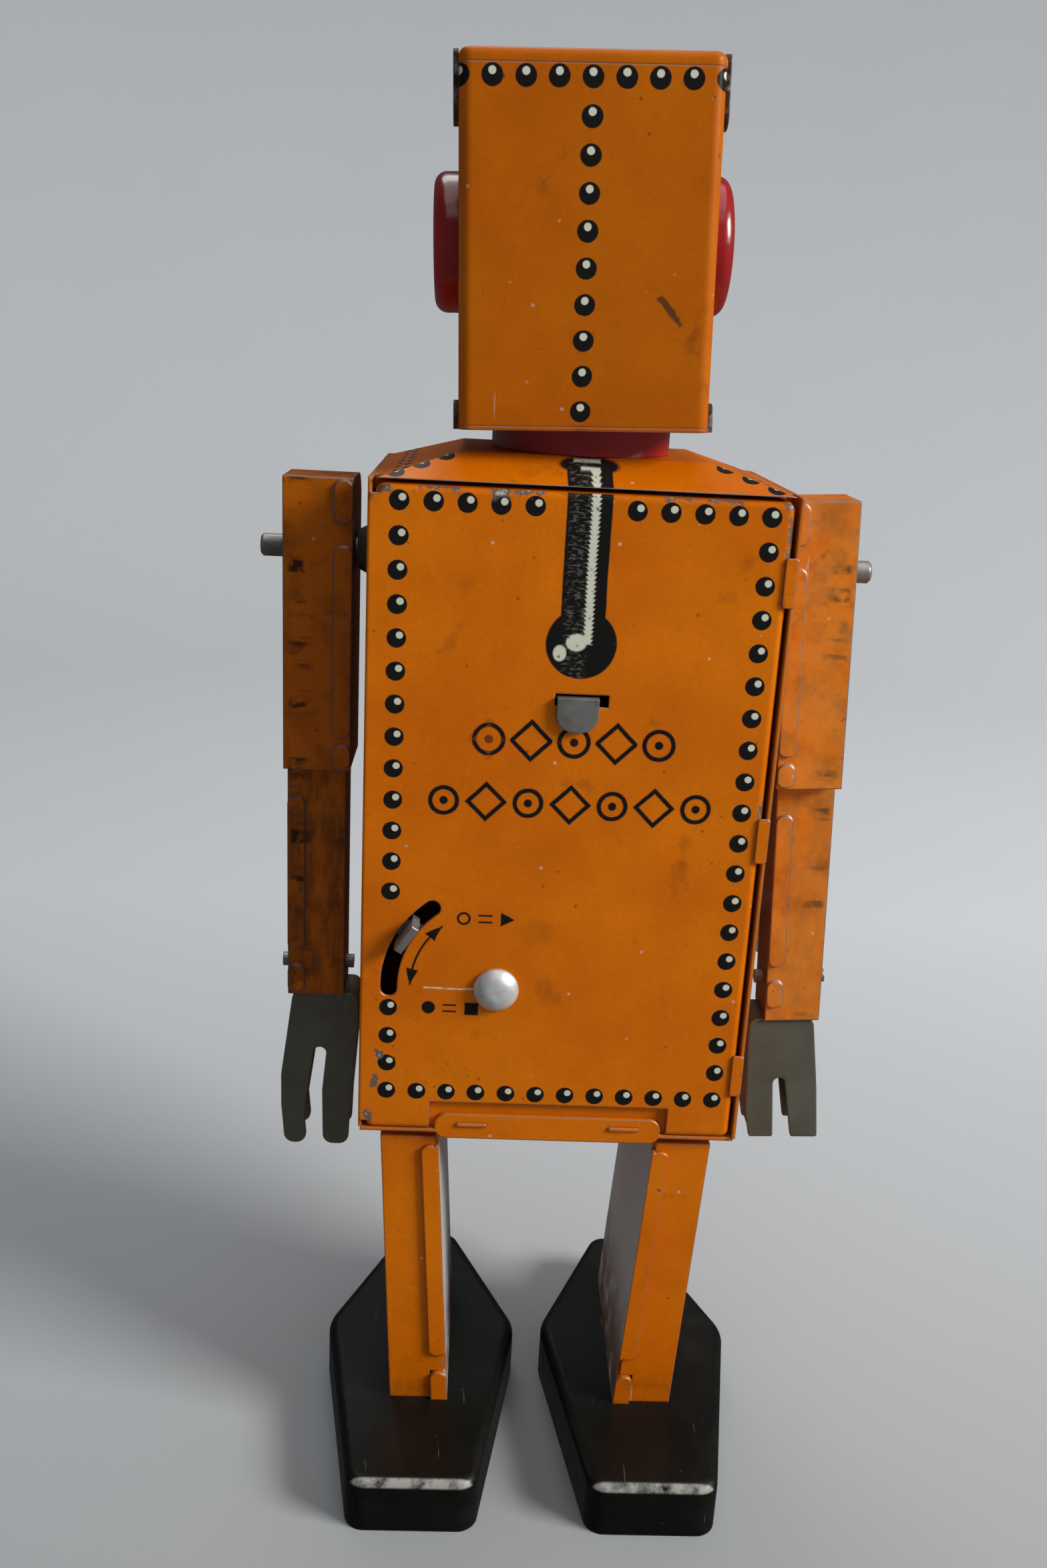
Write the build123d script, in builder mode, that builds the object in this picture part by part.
from build123d import *

import os
from math import acos, cos, pi, radians, sin, sqrt, tan

# Tin wind-up robot, millimetres. +Z is up, the robot faces -Y and +X is its left side.
# The origin is on the floor, under the middle of the feet.

# ---------------------------------------------------------------- driving dimensions
TOTAL_HEIGHT = 156.1
SHEET = 0.4                    # thickness of the printed tinplate
CLEAR = 0.06                   # radial clearance of a running fit
OVERSHOOT = 1.0                # how far a cut runs past what it cuts
ROUNDING_REST = 0.1            # straight stretch left between two full roundings

# body
BODY_HALF_WIDTH = 21.4
BODY_BACK_Y = 11.0
BODY_FRONT_Y = -19.0
BODY_BASE_Z = 44.9
BODY_TOP_Z = 116.8
BODY_CORNER = 1.2              # radius of the two folded front corners
BASE_INSET = 0.2               # gap between the base plate and the walls
ARBOR_HOLE_GAP = 0.5           # around the winding arbor, where it leaves the body
PANEL_HALF_WIDTH = 20.65
PANEL_RIM = 3.4                # depth of the folded rim of the back panel
PANEL_EDGE = 0.8
PANEL_TOP_Z = 116.4

# hip roof between body and neck
ROOF_TOP_Z = 119.3
ROOF_BASE_HALF_WIDTH = 20.6    # the roof starts a little inside the walls
ROOF_TOP_HALF_WIDTH = 12.6
ROOF_INSET_Y = 6.0
ROOF_SKIRT = 2.4

# neck, head and ears
NECK_RADIUS = 9.45
NECK_WALL = 0.5
HEAD_HALF_WIDTH = 12.28
HEAD_HALF_DEPTH = 12.6
HEAD_BASE_Z = 122.35
HEAD_CENTRE_Y = (BODY_BACK_Y + BODY_FRONT_Y) / 2
HEAD_CORNER = 1.2
HEAD_LID = 1.3                 # height of the rounded rim of the head top
HEAD_LIP = 2.2                 # depth of the lips inside the head walls
HEAD_TILT = 2.0                # the head sits a little askew on the neck
HEAD_SHIFT = 0.6
HEAD_DROP = 0.4
EAR_RADIUS = 6.75
EAR_THICK = 2.6
EAR_Z = 140.1

# stop lever on the back panel
LEVER_X = 6.6
LEVER_Z = 62.7
LEVER_RADIUS = 11.7            # from the rivet to the middle of the arc slot
LEVER_ANGLE = 33.0             # rest position of the tab above +X
LEVER_SLOT_LOW = -2.0
LEVER_SLOT_SWEEP = 54.0
LEVER_SLOT_WIDTH = 1.8
RIVET_DOME_RADIUS = 2.45
RIVET_SHANK_RADIUS = 1.1

# arms
ARM_PIVOT_Y = -1.0
ARM_PIVOT_Z = 108.1
ARM_INNER_X = 23.4
ARM_OUTER_X = 30.6
ARM_TOP_Z = 115.9
ELBOW_Z = 84.7
ARM_FRONT_Y = -6.0
ARM_BACK_Y = 4.0
FORE_INNER_X = 24.0
FORE_OUTER_X = 30.4
FORE_FRONT_Y = -4.0
FORE_BACK_Y = 2.0
WRIST_Z = {"left": 56.8, "right": 55.4}
ROD_RADIUS = 1.2
ROD_LEFT_X = 33.5
ROD_RIGHT_X = -32.0
ROD_CHAMFER = 0.25
RIGHT_ARM_SHIFT = 1.3          # the right arm hangs nearer to the body and leans outwards
RIGHT_ARM_LEAN = 3.0
HAND_X = 27.2
HAND_SHEET = 0.5

# legs and feet
HIP_Y = -2.0
HIP_Z = 52.0
HIP_ROD_RADIUS = 1.2
LEG_TOP_Z = 43.3
LEG_FRONT_Y = -14.0
LEG_BACK_Y = 9.8
LEG_LOW_INNER_X = 10.1
LEG_LOW_OUTER_X = 17.1
LEG_TOP_INNER_X = 12.3
LEG_TOP_OUTER_X = 18.9
FOOT_X = 13.8
FOOT_HEIGHT = 6.9
FOOT_HEEL_Y = 23.2
FOOT_WIDE_Y = -4.0
FOOT_TOE_Y = -23.2
FOOT_HEEL_HALF = 7.3
FOOT_WIDE_HALF = 12.2
FOOT_TOE_HALF = 3.7
FOOT_SHEET = 0.5
SOLE_THICK = 0.6

# clockwork between the two motor plates
PLATE_X = 9.2                  # inner face of each motor plate
PLATE_THICK = 0.6
PLATE_FRONT_Y = -16.5
PLATE_BACK_Y = 5.5
PLATE_TOP_Z = 95.2
ARBOR_Y = -11.0
ARBOR_Z = 64.0
CRANK_Y = -2.0
CRANK_Z = 64.0
ARBOR_RADIUS = 1.25
CRANK_RADIUS = 0.8
GOVERNOR_RADIUS = 0.6
GREAT_MODULE = 0.5
GREAT_TEETH = 24
CRANK_PINION_TEETH = 12
FAST_MODULE = 0.4
CRANK_WHEEL_TEETH = 30
GOVERNOR_PINION_TEETH = 12
GOVERNOR_Z = CRANK_Z + FAST_MODULE * (CRANK_WHEEL_TEETH + GOVERNOR_PINION_TEETH) / 2
CRANK_THROW = 1.5
CRANK_PIN_RADIUS = 0.9
DISC_X = 10.1
DISC_THICK = 0.8
VERGE_Z = GOVERNOR_Z + 7.6
PRESSURE_ANGLE = radians(25)
ADDENDUM = 0.8                 # height of a stub tooth above and below the pitch circle, in modules
DEDENDUM = 1.1
FLANK_STEPS = 4                # points along a tooth's flank
BACKLASH = 0.16                # taken off each tooth's thickness

# details of the back panel and the hip strip
PANEL_CORNER = 1.0
LAP_ROUNDING = 0.3
TONGUE_X = -0.75
TONGUE_SLOT_Z = 95.45
TONGUE_SLOT_WIDTH = 5.5
TONGUE_SLOT_HEIGHT = 1.3
TONGUE_MIDDLE_X = -0.35
TONGUE_WIDTH = 4.3
TONGUE_THICK = 0.6
TONGUE_GAP = 0.1               # between the panel and the part of the tongue that hangs down
TONGUE_LOW_Z = 92.2
TONGUE_ROUNDING = 1.85
HIP_STRIP_HALF_WIDTH = 12.8
HIP_STRIP_LOW_Z = 43.8
HIP_STRIP_TOP_Z = 46.8
HIP_STRIP_THICK = 0.6
HIP_STRIP_CORNER = 1.3
HIP_BEND_INSET = 2.0           # the bend under the strip is shorter than the strip at each end
RECESS_DEPTH = 0.8
RECESS_HALF_WIDTH = 13.4
RECESS_HEIGHT = 3.6
HIP_SLOT_X = 8.6
HIP_SLOT_Z = 45.6
HIP_TAB_WIDTH = 3.4
CLOSING_TAB_HEIGHTS = (108.4, 81.0, 53.0)
CLOSING_TAB_X = 20.75
CLOSING_TAB_WIDTH = 1.3
CLOSING_TAB_LENGTH = 5.0
CLOSING_TAB_THICK = 0.25
CLOSING_TAB_CORNER = 0.3
LEG_WINDOW_X = 15.6
LEG_WINDOW_WIDTH = 8.0
LEG_WINDOW_DEPTH = 14.0

# rounded edges of head and ears
HEAD_LID_EDGE = 0.8
HEAD_FLAP_THICK = 0.5          # flaps of head top and base over the sides
HEAD_FLAP_DEPTH = 3.4
HEAD_FLAP_HEIGHT = 6.4
LOW_FLAP_HEIGHT = 2.7
EAR_ROUNDING = 1.3

# arm details
ARM_ROUNDING = 3.0
FLAP_WIDTH = 1.9
FLAP_THICK = 0.35
ARM_FLAP_LOW_Z = 88.5
ARM_FLAP_TOP_Z = 109.0
ARM_TABS = ((111.4, 115.7), (85.0, 87.6))   # low and top of the two short tabs
FORE_FLAP_LOW_Z = 62.5
FORE_FLAP_TOP_Z = 81.0
FORE_TAB_LOW_Z = 57.2
FORE_TAB_TOP_Z = 60.6
PIN_RADIUS = 0.8
PIN_STICK_OUT = 0.9
PIN_Z = 59.8
COLLAR_RADIUS = 3.0
COLLAR_END_RADIUS = 2.1
COLLAR_GAP = 0.25
HAND_BACK_Y = 1.6
HAND_FRONT_Y = -3.6
HAND_SIDE_Z = 41.0             # lower end of the hand's side walls
HAND_TRIM = 12.0
FINGER_TIP_Z = 40.0            # the rounded corners of the fingers are below this height
HAND_TOP_ROUNDING = 1.0
# outlines of the hands below the wrist, as offsets outwards from HAND_X and heights
HAND_OUTLINES = {
    "left": ((4.1, 46.0), (4.1, 42.0), (3.7, 36.8), (-3.9, 36.8), (-4.1, 42.0), (-4.9, 53.0)),
    "right": ((3.6, 46.3), (4.05, 39.4), (-4.3, 39.6), (-4.8, 43.0), (-4.9, 53.0)),
}
HAND_TOP_OFFSETS = (-4.8, 2.7)
HAND_SLOT_TOPS = {"left": (-0.45, 49.0), "right": (-0.95, 46.8)}
HAND_SLOT_WIDTH = 1.5
HAND_SLOT_ENDS = {
    "left": ((0.3, 49.0), (1.4, 41.0), (0.9, 35.0), (-0.9, 35.0), (-0.75, 44.0), (-1.2, 49.0)),
    "right": ((-0.2, 46.8), (1.0, 38.0), (-1.3, 38.0), (-1.7, 46.8)),
}
HAND_TIP_ROUNDING = {"left": 1.2, "right": 0.3}

# leg details
LEG_CORNER = 0.9
LEG_FLAP_WIDTH = 2.0
LEG_FLAP_THICK = 0.5
LEG_FLAP_LOW_Z = 13.4
ANKLE_TAB_TOP_Z = 10.8
LEG_FLAP_TOP_Z = 42.3
LEG_EAR_DEPTH = 11.0           # upright that reaches the crank pin
LEG_EAR_TOP_Z = 68.5
LEG_EAR_LOW_Z = 41.3
LEG_EAR_CORNER = 2.0
HIP_EAR_DEPTH = 7.0
HIP_EAR_TOP_Z = 55.5
CRANK_WINDOW_DEPTH = 7.6
CRANK_WINDOW_HEIGHT = 5.4
FOOT_HEEL_ROUNDING = 2.4
FOOT_SIDE_ROUNDING = 6.0
FOOT_EDGE = 1.2

# clockwork details
PLATE_CORNER = 1.5
PILLAR_RADIUS = 1.2
PILLAR_SHANK_RADIUS = 0.7
PILLAR_PLACES = ((-14.5, 49.0), (3.5, 48.5), (-14.5, 91.0), (3.5, 91.0))
SPRING_INNER = 1.7
SPRING_OUTER = 6.6
SPRING_PITCH = 0.8
SPRING_RIBBON = 0.3
SPRING_STEPS = 12              # points per turn
SPRING_X = -3.4
SPRING_WIDTH = 8.4
KEY_HUB_INNER_X = 22.4
KEY_HUB_OUTER_X = 25.4
KEY_HUB_RADIUS = 1.9
KEY_WING_X = 27.9
KEY_WING_OFFSET = 3.2
KEY_WING_RADIUS = 2.7
KEY_WING_HOLE = 1.2
KEY_WING_THICK = 0.9
GREAT_X = -6.4
GREAT_THICK = 1.0
RATCHET_X = -5.4
RATCHET_THICK = 0.8
RATCHET_TEETH = 9
RATCHET_ROOT = 2.4
RATCHET_TIP = 3.2
CLICK_PIVOT_RADIUS = 4.5
CLICK_TIP_RADIUS = 3.6
CLICK_ANGLE = radians(50)      # from the front-to-back line through the arbor to the click's tip
CLICK_PIVOT_SIZE = 0.8
CLICK_TIP_SIZE = 0.3
PINION_X = -6.7
PINION_THICK = 1.6
FAST_WHEEL_X = 7.2
FAST_WHEEL_THICK = 0.8
FAST_PINION_X = 6.8
DISC_RADIUS = 3.2
CRANK_PIN_LENGTH = 2.9
STAR_POINTS = 9
STAR_TIP = 4.2
STAR_ROOT = 2.6
STAR_THICK = 0.8
YOKE_REACH = 4.4
YOKE_DROP = 4.6
YOKE_HALF_WIDTH = 1.0

# stop lever details
LEVER_GAP = 0.15
LEVER_THICK = 0.5
LEVER_HUB_RADIUS = 2.6
LEVER_TIP_RADIUS = 1.2
TAB_THICK = 0.9
TAB_WIDTH = 3.4
TAB_STICK_OUT = 2.2
TAB_EDGE = 0.15
FINGER_RADIUS = 9.6
FINGER_ANGLE = 130.0
FINGER_SIZE = 0.9
FINGER_END_Y = 3.2
RIVET_DOME_HEIGHT = 1.1
RIVET_SHOULDER = (0.72, 0.66)  # a point on the dome's curve, in parts of its radius and its height
RIVET_HEAD_RADIUS = 1.9

SIDES = {"left": 1, "right": -1}


# ---------------------------------------------------------------- helpers
def facing_back(y):
    """Plane at this Y with local x along +X and local y along +Z; extrusions run towards -Y."""
    return Plane.XZ.offset(-y)


def facing_left(x):
    """Plane at this X with local x along +Y and local y along +Z; extrusions run towards +X."""
    return Plane.YZ.offset(x)


def across_shaft(x, y, z):
    """Plane across a shaft that runs along X, with its origin on the shaft and local x along +Y."""
    return Plane(origin=(x, y, z), x_dir=(0, 1, 0), z_dir=(1, 0, 0))


def gear_outline(teeth, module, phase):
    """Corner points of a stub-tooth involute gear; phase is one tooth's angle in degrees."""
    pitch_radius = teeth * module / 2
    base_radius = pitch_radius * cos(PRESSURE_ANGLE)
    tip_radius = pitch_radius + ADDENDUM * module
    root_radius = pitch_radius - DEDENDUM * module
    flank_start = max(base_radius, root_radius)
    half_pitch = pi / (2 * teeth) - BACKLASH / (2 * pitch_radius)
    half_base = half_pitch + tan(PRESSURE_ANGLE) - PRESSURE_ANGLE
    flank = [(root_radius, half_base)]
    for i in range(FLANK_STEPS + 1):
        radius = flank_start + (tip_radius - flank_start) * i / FLANK_STEPS
        roll = sqrt(max((radius / base_radius) ** 2 - 1, 0))
        flank.append((radius, half_base - (roll - acos(min(base_radius / radius, 1)))))
    points = []
    for tooth in range(teeth):
        middle = radians(phase) + 2 * pi * tooth / teeth
        for radius, half in flank:
            points.append((radius * cos(middle - half), radius * sin(middle - half)))
        for radius, half in reversed(flank):
            points.append((radius * cos(middle + half), radius * sin(middle + half)))
    return points


def leg_x(z, low_x, top_x):
    """X of a leaning leg edge at height z, between the foot and the leg's top."""
    return low_x + (top_x - low_x) * (z - FOOT_HEIGHT) / (LEG_TOP_Z - FOOT_HEIGHT)


def leaning_strip(inner_low, outer_low, inner_top, outer_top, low_z, top_z):
    """Corner points of a strip that follows the lean of a leg."""
    return [
        (leg_x(low_z, inner_low, inner_top), low_z),
        (leg_x(low_z, outer_low, outer_top), low_z),
        (leg_x(top_z, outer_low, outer_top), top_z),
        (leg_x(top_z, inner_low, inner_top), top_z),
    ]


def askew(centre, angle, shift):
    """Place of a piece that is turned about Y round a centre and then moved."""
    x, y, z = centre
    return Location(shift) * Location(centre) * Location((0, 0, 0), (0, angle, 0)) * Location((-x, -y, -z))


# ---------------------------------------------------------------- body
body_depth = BODY_BACK_Y - BODY_FRONT_Y
body_middle_y = (BODY_BACK_Y + BODY_FRONT_Y) / 2
hip_strip_y = BODY_BACK_Y - RECESS_DEPTH + HIP_STRIP_THICK

with BuildPart() as body_shell:
    # front and both sides, folded from one sheet and open at the back
    with BuildSketch(Plane.XY.offset(BODY_BASE_Z)):
        with Locations((0, body_middle_y)):
            Rectangle(2 * BODY_HALF_WIDTH, body_depth)
    extrude(amount=BODY_TOP_Z - BODY_BASE_Z)
    fillet(body_shell.edges().filter_by(Axis.Z).group_by(Axis.Y)[0], BODY_CORNER)
    with BuildSketch(Plane.XY.offset(BODY_BASE_Z)):
        with Locations((0, body_middle_y + SHEET)):
            Rectangle(2 * (BODY_HALF_WIDTH - SHEET), body_depth)
    extrude(amount=BODY_TOP_Z - BODY_BASE_Z, mode=Mode.SUBTRACT)
    with BuildSketch(facing_left(-BODY_HALF_WIDTH - OVERSHOOT)):
        with Locations((ARM_PIVOT_Y, ARM_PIVOT_Z)):
            Circle(ROD_RADIUS)
        with Locations((HIP_Y, HIP_Z)):
            Circle(HIP_ROD_RADIUS)
    extrude(amount=2 * (BODY_HALF_WIDTH + OVERSHOOT), mode=Mode.SUBTRACT)
    # the back panel laps over the end of the left side
    with BuildSketch(facing_back(BODY_BACK_Y)):
        with Locations((BODY_HALF_WIDTH, (BODY_BASE_Z + BODY_TOP_Z) / 2)):
            Rectangle(2 * SHEET, BODY_TOP_Z - BODY_BASE_Z)
    extrude(amount=SHEET, mode=Mode.SUBTRACT)
    # hole for the winding arbor in the right side
    with BuildSketch(facing_left(-BODY_HALF_WIDTH - OVERSHOOT)):
        with Locations((ARBOR_Y, ARBOR_Z)):
            Circle(ARBOR_RADIUS + ARBOR_HOLE_GAP)
    extrude(amount=2 * OVERSHOOT, mode=Mode.SUBTRACT)
body_shell.part.label = "body_shell"
export_step(body_shell.part, "parts/body_shell.step")

with BuildPart() as back_panel:
    # pan with a folded rim that sits between the two sides of the body shell
    with BuildSketch(facing_back(BODY_BACK_Y)):
        with Locations((0, (BODY_BASE_Z + PANEL_TOP_Z) / 2)):
            Rectangle(2 * PANEL_HALF_WIDTH, PANEL_TOP_Z - BODY_BASE_Z)
    extrude(amount=PANEL_RIM)
    fillet(back_panel.edges().filter_by(Axis.Y), PANEL_CORNER)
    fillet(back_panel.faces().sort_by(Axis.Y)[-1].edges(), PANEL_EDGE)
    with BuildSketch(facing_back(BODY_BACK_Y - SHEET)):
        with Locations((0, (BODY_BASE_Z + PANEL_TOP_Z) / 2)):
            inner_width = 2 * (PANEL_HALF_WIDTH - SHEET)
            inner_height = PANEL_TOP_Z - BODY_BASE_Z - 2 * SHEET
            RectangleRounded(inner_width, inner_height, PANEL_CORNER - SHEET)
        with Locations((0, BODY_BASE_Z + (RECESS_HEIGHT + SHEET) / 2)):
            recess_back_width = 2 * (RECESS_HALF_WIDTH + SHEET)
            Rectangle(recess_back_width, RECESS_HEIGHT + SHEET, mode=Mode.SUBTRACT)
    extrude(amount=PANEL_RIM, mode=Mode.SUBTRACT)
    # edge that laps over the left side of the body
    with BuildSketch(facing_back(BODY_BACK_Y)):
        with Locations((PANEL_HALF_WIDTH, (BODY_BASE_Z + PANEL_TOP_Z) / 2)):
            lap_width = 2 * (BODY_HALF_WIDTH - PANEL_HALF_WIDTH)
            Rectangle(lap_width, PANEL_TOP_Z - BODY_BASE_Z - 2 * PANEL_CORNER)
    extrude(amount=SHEET)
    fillet(back_panel.edges().filter_by(Axis.Z).group_by(Axis.X)[-1].sort_by(Axis.Y)[-1], LAP_ROUNDING)
    # shallow recess for the hip strip, pressed into the middle of the bottom edge
    with BuildSketch(facing_back(BODY_BACK_Y - SHEET - RECESS_DEPTH)):
        with Locations((0, BODY_BASE_Z + SHEET + RECESS_HEIGHT / 2)):
            Rectangle(recess_back_width, RECESS_HEIGHT)
    extrude(amount=PANEL_RIM, mode=Mode.SUBTRACT)
    with BuildSketch(facing_back(BODY_BACK_Y)):
        with Locations((0, BODY_BASE_Z + RECESS_HEIGHT / 2)):
            Rectangle(2 * RECESS_HALF_WIDTH, RECESS_HEIGHT)
    extrude(amount=RECESS_DEPTH, mode=Mode.SUBTRACT)
    with BuildSketch(facing_back(BODY_BACK_Y + OVERSHOOT)):
        with Locations((TONGUE_X, TONGUE_SLOT_Z)):
            Rectangle(TONGUE_SLOT_WIDTH, TONGUE_SLOT_HEIGHT)
        with Locations((LEVER_X, LEVER_Z)):
            Circle(RIVET_SHANK_RADIUS)
        with Locations((-HIP_SLOT_X, HIP_SLOT_Z), (HIP_SLOT_X, HIP_SLOT_Z)):
            Rectangle(HIP_TAB_WIDTH, SHEET)
    extrude(amount=PANEL_RIM, mode=Mode.SUBTRACT)
    # arc slot for the tab of the stop lever
    with BuildSketch(facing_back(BODY_BACK_Y + OVERSHOOT)):
        with BuildLine():
            slot_middle = CenterArc((LEVER_X, LEVER_Z), LEVER_RADIUS, LEVER_SLOT_LOW, LEVER_SLOT_SWEEP)
        SlotArc(slot_middle, LEVER_SLOT_WIDTH)
    extrude(amount=PANEL_RIM, mode=Mode.SUBTRACT)
back_panel.part.label = "back_panel"
export_step(back_panel.part, "parts/back_panel.step")

with BuildPart() as closing_tabs:
    # tabs of the right side bent over the edge of the back panel, and two that hold the hip strip
    for height in CLOSING_TAB_HEIGHTS:
        with BuildSketch(facing_back(BODY_BACK_Y + CLOSING_TAB_THICK)):
            with Locations((-CLOSING_TAB_X, height)):
                RectangleRounded(CLOSING_TAB_WIDTH, CLOSING_TAB_LENGTH, CLOSING_TAB_CORNER)
        extrude(amount=CLOSING_TAB_THICK)
    for side in SIDES.values():
        with BuildSketch(facing_back(hip_strip_y + CLOSING_TAB_THICK)):
            with Locations((side * HIP_SLOT_X, HIP_SLOT_Z)):
                Rectangle(HIP_TAB_WIDTH, SHEET)
        extrude(amount=HIP_STRIP_THICK + CLOSING_TAB_THICK + 2 * SHEET)
closing_tabs.part.label = "closing_tabs"
export_step(closing_tabs.part, "parts/closing_tabs.step")

with BuildPart() as base_plate:
    # floor of the body with a window for each leg, turned up behind the back panel
    with BuildSketch(Plane.XY.offset(BODY_BASE_Z - SHEET)):
        with Locations((0, body_middle_y)):
            Rectangle(2 * (BODY_HALF_WIDTH - BASE_INSET), body_depth - 2 * BASE_INSET)
        with Locations((-LEG_WINDOW_X, HIP_Y), (LEG_WINDOW_X, HIP_Y)):
            Rectangle(LEG_WINDOW_WIDTH, LEG_WINDOW_DEPTH, mode=Mode.SUBTRACT)
    extrude(amount=SHEET)
    with BuildSketch(facing_back(hip_strip_y)):
        with Locations((0, (HIP_STRIP_LOW_Z + HIP_STRIP_TOP_Z) / 2)):
            strip_height = HIP_STRIP_TOP_Z - HIP_STRIP_LOW_Z
            RectangleRounded(2 * HIP_STRIP_HALF_WIDTH, strip_height, HIP_STRIP_CORNER)
        with Locations((-HIP_SLOT_X, HIP_SLOT_Z), (HIP_SLOT_X, HIP_SLOT_Z)):
            Rectangle(HIP_TAB_WIDTH, SHEET, mode=Mode.SUBTRACT)
    extrude(amount=HIP_STRIP_THICK)
    # bend that joins the strip to the floor of the body
    with BuildSketch(Plane.XY.offset(BODY_BASE_Z - SHEET)):
        with Locations((0, hip_strip_y - HIP_STRIP_THICK)):
            Rectangle(2 * (HIP_STRIP_HALF_WIDTH - HIP_BEND_INSET), 2 * HIP_STRIP_THICK)
    extrude(amount=SHEET)
base_plate.part.label = "base_plate"
export_step(base_plate.part, "parts/base_plate.step")

with BuildPart() as shoulder_cap:
    # hip roof with a skirt that plugs into the body shell
    with BuildSketch(Plane.XY.offset(BODY_TOP_Z)):
        with Locations((0, body_middle_y)):
            Rectangle(2 * ROOF_BASE_HALF_WIDTH, body_depth)
    with BuildSketch(Plane.XY.offset(ROOF_TOP_Z)):
        with Locations((0, body_middle_y)):
            Rectangle(2 * ROOF_TOP_HALF_WIDTH, body_depth - 2 * ROOF_INSET_Y)
    loft()
    with BuildSketch(Plane.XY.offset(BODY_TOP_Z)):
        with Locations((0, body_middle_y)):
            Rectangle(2 * (ROOF_BASE_HALF_WIDTH - 2 * SHEET), body_depth - 4 * SHEET)
    with BuildSketch(Plane.XY.offset(ROOF_TOP_Z - SHEET)):
        with Locations((0, body_middle_y)):
            Rectangle(2 * ROOF_TOP_HALF_WIDTH, body_depth - 2 * ROOF_INSET_Y)
    loft(mode=Mode.SUBTRACT)
    skirt_front_y = BODY_FRONT_Y + SHEET
    skirt_back_y = BODY_BACK_Y - PANEL_RIM - SHEET
    with BuildSketch(Plane.XY.offset(BODY_TOP_Z)):
        with Locations((0, (skirt_front_y + skirt_back_y) / 2)):
            Rectangle(2 * (BODY_HALF_WIDTH - SHEET), skirt_back_y - skirt_front_y)
            skirt_inner_depth = skirt_back_y - skirt_front_y - 2 * SHEET
            Rectangle(2 * (BODY_HALF_WIDTH - 3 * SHEET), skirt_inner_depth, mode=Mode.SUBTRACT)
    extrude(amount=-ROOF_SKIRT)
shoulder_cap.part.label = "shoulder_cap"
export_step(shoulder_cap.part, "parts/shoulder_cap.step")

# ---------------------------------------------------------------- neck and head
head_place = askew((0, HEAD_CENTRE_Y, HEAD_BASE_Z), HEAD_TILT, (HEAD_SHIFT, 0, -HEAD_DROP))

with BuildPart() as neck:
    # cut off askew at the top, where the head sits
    with BuildSketch(Plane.XY.offset(ROOF_TOP_Z)):
        with Locations((0, HEAD_CENTRE_Y)):
            Circle(NECK_RADIUS)
            Circle(NECK_RADIUS - NECK_WALL, mode=Mode.SUBTRACT)
    extrude(amount=HEAD_BASE_Z + OVERSHOOT - ROOF_TOP_Z)
    neck_top = (head_place * Plane.XY.offset(HEAD_BASE_Z)).location
    split(bisect_by=Plane(neck_top), keep=Keep.BOTTOM)
neck.part.label = "neck"
export_step(neck.part, "parts/neck.step")

head_lid_z = TOTAL_HEIGHT - HEAD_LID
head_back_y = HEAD_CENTRE_Y + HEAD_HALF_DEPTH - HEAD_CORNER

with BuildPart() as head_shell:
    # four walls, folded from one strip
    with BuildSketch(Plane.XY.offset(HEAD_BASE_Z + SHEET)):
        with Locations((0, HEAD_CENTRE_Y)):
            RectangleRounded(2 * HEAD_HALF_WIDTH, 2 * HEAD_HALF_DEPTH, HEAD_CORNER)
            inner_corner = HEAD_CORNER - SHEET
            inner_head_width = 2 * (HEAD_HALF_WIDTH - SHEET)
            inner_head_depth = 2 * (HEAD_HALF_DEPTH - SHEET)
            RectangleRounded(inner_head_width, inner_head_depth, inner_corner, mode=Mode.SUBTRACT)
    extrude(amount=head_lid_z - HEAD_BASE_Z - SHEET)
    add(head_shell.part.moved(head_place), mode=Mode.REPLACE)
head_shell.part.label = "head_shell"
export_step(head_shell.part, "parts/head_shell.step")

with BuildPart() as head_top:
    # lid with a rounded rim and a lip inside the walls
    with BuildSketch(Plane.XY.offset(head_lid_z)):
        with Locations((0, HEAD_CENTRE_Y)):
            RectangleRounded(2 * HEAD_HALF_WIDTH, 2 * HEAD_HALF_DEPTH, HEAD_CORNER)
    extrude(amount=HEAD_LID)
    fillet(head_top.faces().sort_by(Axis.Z)[-1].edges(), HEAD_LID_EDGE)
    with BuildSketch(Plane.XY.offset(head_lid_z)):
        with Locations((0, HEAD_CENTRE_Y)):
            RectangleRounded(inner_head_width, inner_head_depth, inner_corner)
    extrude(amount=-HEAD_LIP)
    with BuildSketch(Plane.XY.offset(TOTAL_HEIGHT - SHEET)):
        with Locations((0, HEAD_CENTRE_Y)):
            Rectangle(inner_head_width - 2 * SHEET, inner_head_depth - 2 * SHEET)
    extrude(amount=-HEAD_LIP - HEAD_LID, mode=Mode.SUBTRACT)
    # flaps folded down over the sides at the two back corners
    for sign in SIDES.values():
        with BuildSketch(facing_left(sign * HEAD_HALF_WIDTH)) as top_flap:
            with Locations((head_back_y - HEAD_FLAP_DEPTH / 2, TOTAL_HEIGHT - HEAD_FLAP_HEIGHT / 2)):
                Rectangle(HEAD_FLAP_DEPTH, HEAD_FLAP_HEIGHT)
            fillet(top_flap.vertices().group_by(Axis.Y)[0], HEAD_FLAP_DEPTH / 2 - ROUNDING_REST)
            fillet(top_flap.vertices().group_by(Axis.Y)[-1], HEAD_LID_EDGE)
        extrude(amount=sign * HEAD_FLAP_THICK)
    add(head_top.part.moved(head_place), mode=Mode.REPLACE)
head_top.part.label = "head_top"
export_step(head_top.part, "parts/head_top.step")

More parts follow.
